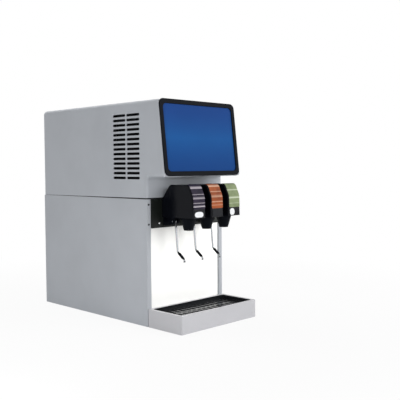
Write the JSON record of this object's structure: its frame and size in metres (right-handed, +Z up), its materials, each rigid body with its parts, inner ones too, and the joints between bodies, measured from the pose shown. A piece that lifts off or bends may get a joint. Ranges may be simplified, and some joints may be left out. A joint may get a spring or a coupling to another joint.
{
  "type": "drink dispenser",
  "caption": "Countertop drink dispenser: slotted cabinet with a lit display head, lever valves with nozzles, and a drip tray with a slotted cup rest.",
  "frame": {"origin": "centre of the flat underside, on the counter", "axes": "+Z up; -Y towards the user, where the valves and the tray are; X across the front"},
  "size_m": [0.35, 0.745, 0.723],
  "materials": {
    "cabinet_paint": "satin light grey paint on sheet steel",
    "tray_paint": "satin pale grey paint",
    "splash_steel": "bright satin steel",
    "black_plastic": "fine-grained black plastic",
    "gloss_black": "glossy black plastic",
    "blue_lens": "smooth blue translucent panel",
    "circuit_board": "printed circuit board with lamps",
    "stainless": "polished stainless steel",
    "zinc_steel": "galvanised sheet",
    "aluminium_fins": "black-coated aluminium fins",
    "copper": "bare copper",
    "black_enamel": "black enamel",
    "foam_insulation": "foam-filled plastic",
    "ivory_plastic": "off-white plastic",
    "label_purple": "printed label, dark purple",
    "label_orange": "printed label, orange",
    "label_green": "printed label, green"
  },
  "bodies": {
    "cabinet": {"base_pan": "zinc_steel", "deck_plate": "zinc_steel", "connection_bay": "zinc_steel", "agitator_motor": "zinc_steel", "fan_motor": "zinc_steel", "lever_pin_1": "zinc_steel", "lever_pin_2": "zinc_steel", "lever_pin_3": "zinc_steel", "left_side_panel": "cabinet_paint", "right_side_panel": "cabinet_paint", "rear_panel": "cabinet_paint", "upper_cover": "cabinet_paint", "splash_panel": "splash_steel", "valve_plate": "black_plastic", "display_bezel": "black_plastic", "fan_shroud": "black_plastic", "power_inlet": "black_plastic", "valve_body_1": "black_plastic", "valve_body_2": "black_plastic", "valve_body_3": "black_plastic", "valve_cover_1": "gloss_black", "valve_cover_2": "gloss_black", "valve_cover_3": "gloss_black", "display_lens": "blue_lens", "light_board": "circuit_board", "carbonator_tank": "stainless", "soda_coil": "stainless", "water_inlet": "stainless", "gas_inlet": "stainless", "syrup_inlet_1": "stainless", "syrup_inlet_2": "stainless", "syrup_inlet_3": "stainless", "condenser": "aluminium_fins", "evaporator_coil": "copper", "solenoid_1": "copper", "solenoid_2": "copper", "solenoid_3": "copper", "compressor": "black_enamel", "carbonator_pump": "black_enamel", "bath_tank": "foam_insulation", "control_box": "ivory_plastic", "mounting_manifold": "ivory_plastic", "valve_label_1": "label_purple", "valve_label_2": "label_orange", "valve_label_3": "label_green"},
    "drip_tray_body": {"drip_tray": "tray_paint"},
    "cup_rest_body": {"cup_rest": "gloss_black"},
    "fan": {"fan_blade": "black_plastic"},
    "agitator": {"agitator_impeller": "stainless"},
    "lever_body_1": {"lever_1": "stainless", "lever_sleeve_1": "black_plastic"},
    "nozzle_body_1": {"nozzle_1": "black_plastic"},
    "lever_body_2": {"lever_2": "stainless", "lever_sleeve_2": "black_plastic"},
    "nozzle_body_2": {"nozzle_2": "black_plastic"},
    "lever_body_3": {"lever_3": "stainless", "lever_sleeve_3": "black_plastic"},
    "nozzle_body_3": {"nozzle_3": "black_plastic"}
  },
  "joints": [
    {"name": "drip_tray_slide", "type": "slide", "parent": "cabinet", "child": "drip_tray_body", "axis": [0, -1, 0], "range_m": [0, 0.17]},
    {"name": "cup_rest_lift", "type": "slide", "parent": "drip_tray_body", "child": "cup_rest_body", "axis": [0, 0, 1], "range_m": [0, 0.06]},
    {"name": "fan_spin", "type": "hinge", "parent": "cabinet", "child": "fan", "pos_m": [-0.1072, -0.1175, 0.5347], "axis": [1, 0, 0], "continuous": true},
    {"name": "agitator_spin", "type": "hinge", "parent": "cabinet", "child": "agitator", "pos_m": [0, 0.014, 0.3], "axis": [0, 0, 1], "continuous": true},
    {"name": "lever_1_push", "type": "hinge", "parent": "cabinet", "child": "lever_body_1", "pos_m": [-0.082, -0.2485, 0.334], "axis": [1, 0, 0], "range_deg": [0, 15], "stiffness_Nm_per_rad": 0.4},
    {"name": "nozzle_1_pull", "type": "slide", "parent": "cabinet", "child": "nozzle_body_1", "axis": [0, 0, -1], "range_m": [0, 0.045]},
    {"name": "lever_2_push", "type": "hinge", "parent": "cabinet", "child": "lever_body_2", "pos_m": [0, -0.2485, 0.334], "axis": [1, 0, 0], "range_deg": [0, 15], "stiffness_Nm_per_rad": 0.4},
    {"name": "nozzle_2_pull", "type": "slide", "parent": "cabinet", "child": "nozzle_body_2", "axis": [0, 0, -1], "range_m": [0, 0.045]},
    {"name": "lever_3_push", "type": "hinge", "parent": "cabinet", "child": "lever_body_3", "pos_m": [0.082, -0.2485, 0.334], "axis": [1, 0, 0], "range_deg": [0, 15], "stiffness_Nm_per_rad": 0.4},
    {"name": "nozzle_3_pull", "type": "slide", "parent": "cabinet", "child": "nozzle_body_3", "axis": [0, 0, -1], "range_m": [0, 0.045]}
  ]
}
